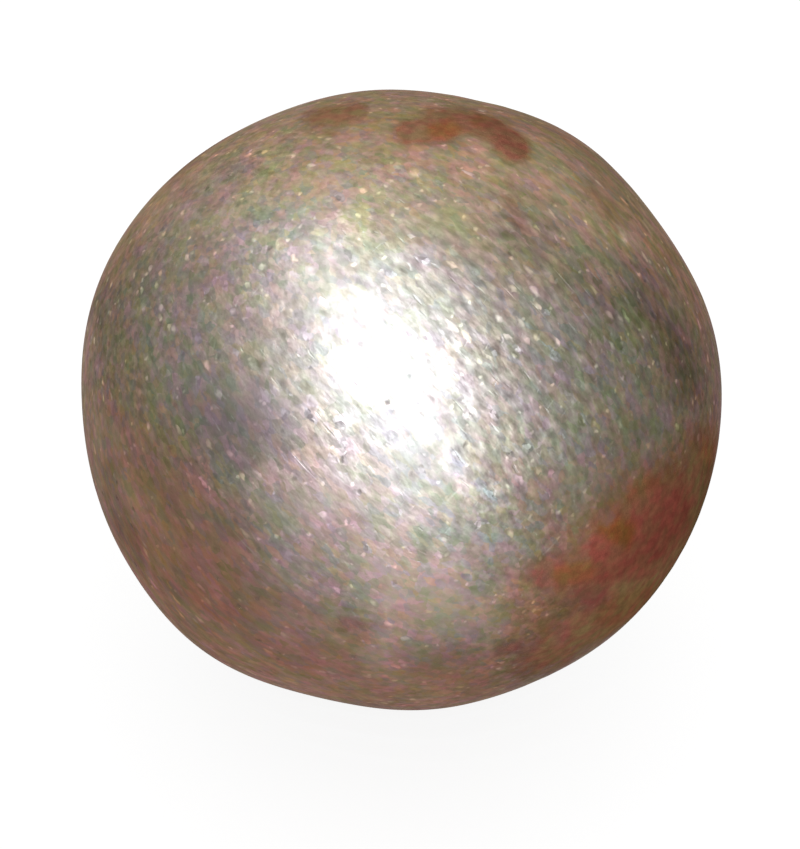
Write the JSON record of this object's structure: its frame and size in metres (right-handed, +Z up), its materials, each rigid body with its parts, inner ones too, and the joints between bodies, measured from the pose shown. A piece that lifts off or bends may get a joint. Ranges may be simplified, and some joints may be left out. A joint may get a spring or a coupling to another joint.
{
  "type": "steel ball",
  "caption": "Solid steel ball, a little out of round, with a dull tumbled surface and patches of rust.",
  "frame": {"origin": "centre of the ball", "axes": "+X along the ball's slightly longer axis, +Z up with the ball at rest on its side; round about X"},
  "size_m": [0.0254, 0.0246, 0.0246],
  "materials": {
    "steel": "satin"
  },
  "bodies": {
    "root": {"ball": "steel"}
  },
  "joints": []
}
